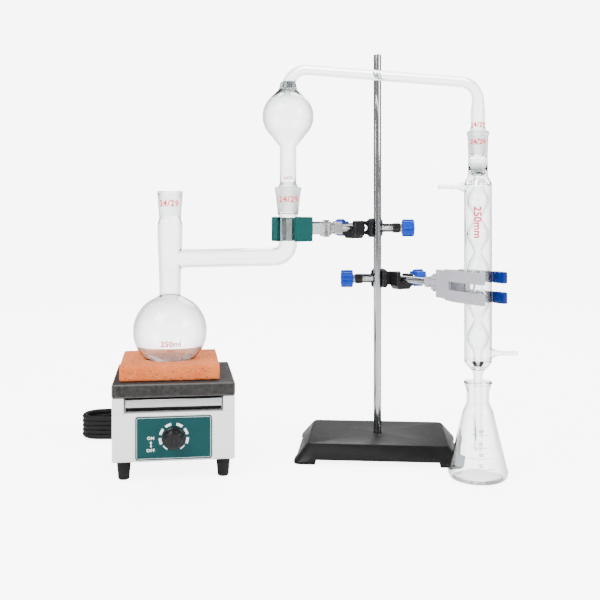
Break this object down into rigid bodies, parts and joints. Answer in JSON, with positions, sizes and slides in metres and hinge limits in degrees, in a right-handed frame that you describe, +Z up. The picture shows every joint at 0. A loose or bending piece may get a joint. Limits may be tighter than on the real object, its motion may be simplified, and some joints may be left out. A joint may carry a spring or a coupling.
{
  "type": "distillation set on a retort stand",
  "caption": "Side-arm flask on a dial hotplate, splash head, bulb condenser and conical receiver, held by clamps on a retort stand.",
  "frame": {"origin": "middle of the set's underside on the bench, measured without the mains cord", "axes": "+X to the receiver's side, -Y to the front with the dial, +Z up the stand rod"},
  "size_m": [0.5286, 0.2479, 0.491],
  "materials": {
    "black_cast": "satin black paint on casting",
    "black_iron": "matte black, scuffed edges",
    "black_plastic": "moulded black",
    "black_rubber": "matte black",
    "blue_plastic": "moulded, slightly glossy",
    "chrome": "polished plated",
    "dark_blue_vinyl": "dipped vinyl",
    "firebrick": "porous fired brick",
    "glass": "clear fire-polished borosilicate",
    "grey_cast": "fine cast, light grey",
    "heater_wire": "oxidised resistance wire in ceramic",
    "steel": "bright zinc plated",
    "teal_label": "printed panel",
    "teal_rubber": "soft matte coating",
    "white_enamel": "gloss white powder coat"
  },
  "bodies": {
    "root": {"bottom_cover": "black_plastic", "case": "white_enamel", "cord_gland": "black_rubber", "cord_hank": "black_rubber", "cord_tail": "black_rubber", "cord_tie": "black_rubber", "foot_1": "black_rubber", "foot_2": "black_rubber", "foot_3": "black_rubber", "foot_4": "black_rubber", "heater_element": "heater_wire", "heating_plate": "black_iron", "insulation_board": "black_plastic", "label_plate": "teal_label", "mains_cord": "black_rubber", "plug": "black_plastic", "reflector_tray": "steel", "regulator": "steel", "rod_nut": "steel", "rod_washer": "steel", "stand_base": "black_cast", "stand_rod": "chrome", "firebrick": "firebrick"},
    "upper_rod_screw_body": {"upper_rod_screw": "steel"},
    "upper_rod_knob_body": {"upper_rod_knob": "blue_plastic"},
    "upper_shaft_screw_body": {"upper_shaft_screw": "steel"},
    "upper_shaft_knob_body": {"upper_shaft_knob": "blue_plastic"},
    "lower_rod_screw_body": {"lower_rod_screw": "steel"},
    "lower_rod_knob_body": {"lower_rod_knob": "blue_plastic"},
    "lower_shaft_screw_body": {"lower_shaft_screw": "steel"},
    "lower_shaft_knob_body": {"lower_shaft_knob": "blue_plastic"},
    "upper_clamp": {"upper_boss": "black_cast", "upper_clamp_shaft": "chrome", "upper_clamp_head": "steel", "upper_jaw_pin": "black_cast", "boiling_flask": "glass"},
    "lower_clamp": {"lower_boss": "black_cast", "lower_clamp_shaft": "chrome", "lower_clamp_head": "grey_cast", "lower_jaw_pin": "steel", "condenser": "glass"},
    "upper_jaw_near_body": {"upper_jaw_near": "steel", "upper_pad_near": "teal_rubber"},
    "upper_jaw_far_body": {"upper_jaw_far": "steel", "upper_pad_far": "teal_rubber"},
    "lower_jaw_near_body": {"lower_jaw_near": "grey_cast"},
    "lower_jaw_far_body": {"lower_jaw_far": "grey_cast", "finger_sleeve_upper": "dark_blue_vinyl", "finger_sleeve_lower": "dark_blue_vinyl"},
    "head_body": {"splash_head": "glass"},
    "receiver_body": {"receiver_flask": "glass"},
    "dial_body": {"dial_knob": "black_plastic"}
  },
  "joints": [
    {"name": "dial_turn", "type": "hinge", "parent": "root", "child": "dial_body", "pos_m": [-0.14798, -0.0917, 0.047], "axis": [0.1357, -0.9907, 0], "range_deg": [-270, 0]},
    {"name": "upper_boss_slide", "type": "slide", "parent": "root", "child": "upper_clamp", "axis": [0, 0, 1], "range_m": [0, 0.05]},
    {"name": "lower_boss_slide", "type": "slide", "parent": "root", "child": "lower_clamp", "axis": [0, 0, 1], "range_m": [-0.012, 0]},
    {"name": "splash_head_lift", "type": "slide", "parent": "upper_clamp", "child": "head_body", "axis": [0, 0, 1], "range_m": [0, 0.04]},
    {"name": "receiver_lift", "type": "slide", "parent": "root", "child": "receiver_body", "axis": [0, 0, 1], "range_m": [0, 0.01]},
    {"name": "upper_rod_screw_travel", "type": "slide", "parent": "upper_clamp", "child": "upper_rod_screw_body", "axis": [1, 0, 0], "range_m": [0, 0.0025]},
    {"name": "upper_rod_knob_turn", "type": "hinge", "parent": "upper_rod_screw_body", "child": "upper_rod_knob_body", "pos_m": [0.11807, 0.03657, 0.2755], "axis": [1, 0, 0], "range_deg": [0, 720]},
    {"name": "upper_shaft_screw_travel", "type": "slide", "parent": "upper_clamp", "child": "upper_shaft_screw_body", "axis": [-0.5886, 0.8084, 0], "range_m": [0, 0.0025]},
    {"name": "upper_shaft_knob_turn", "type": "hinge", "parent": "upper_shaft_screw_body", "child": "upper_shaft_knob_body", "pos_m": [0.04721, 0.05354, 0.2755], "axis": [-0.5886, 0.8084, 0], "range_deg": [0, 720]},
    {"name": "lower_rod_screw_travel", "type": "slide", "parent": "lower_clamp", "child": "lower_rod_screw_body", "axis": [-1, 0, 0], "range_m": [0, 0.0025]},
    {"name": "lower_rod_knob_turn", "type": "hinge", "parent": "lower_rod_screw_body", "child": "lower_rod_knob_body", "pos_m": [0.05707, 0.03657, 0.2125], "axis": [-1, 0, 0], "range_deg": [0, 720]},
    {"name": "lower_shaft_screw_travel", "type": "slide", "parent": "lower_clamp", "child": "lower_shaft_screw_body", "axis": [0.8521, 0.5233, 0], "range_m": [0, 0.0025]},
    {"name": "lower_shaft_knob_turn", "type": "hinge", "parent": "lower_shaft_screw_body", "child": "lower_shaft_knob_body", "pos_m": [0.13346, 0.04756, 0.2125], "axis": [0.8521, 0.5233, 0], "range_deg": [0, 720]},
    {"name": "upper_jaw_open", "type": "hinge", "parent": "upper_clamp", "child": "upper_jaw_near_body", "pos_m": [0.02325, 0.01012, 0.2755], "axis": [0, 0, 1], "range_deg": [0, 12]},
    {"name": "upper_jaw_far_open", "type": "hinge", "parent": "upper_clamp", "child": "upper_jaw_far_body", "pos_m": [0.02325, 0.01012, 0.2755], "axis": [0, 0, -1], "range_deg": [0, 12]},
    {"name": "lower_jaw_open", "type": "hinge", "parent": "lower_clamp", "child": "lower_jaw_near_body", "pos_m": [0.15159, -0.02208, 0.2125], "axis": [0, 0, -1], "range_deg": [0, 10]},
    {"name": "lower_jaw_far_open", "type": "hinge", "parent": "lower_clamp", "child": "lower_jaw_far_body", "pos_m": [0.15159, -0.02208, 0.2125], "axis": [0, 0, 1], "range_deg": [0, 10]}
  ],
  "couplings": [
    {"joint": "upper_rod_screw_travel", "follows": "upper_rod_knob_turn", "m_per_rad": 0.00019894},
    {"joint": "upper_shaft_screw_travel", "follows": "upper_shaft_knob_turn", "m_per_rad": 0.00019894},
    {"joint": "lower_rod_screw_travel", "follows": "lower_rod_knob_turn", "m_per_rad": 0.00019894},
    {"joint": "lower_shaft_screw_travel", "follows": "lower_shaft_knob_turn", "m_per_rad": 0.00019894},
    {"joint": "upper_jaw_far_open", "follows": "upper_jaw_open", "ratio": 1},
    {"joint": "lower_jaw_far_open", "follows": "lower_jaw_open", "ratio": 1}
  ]
}
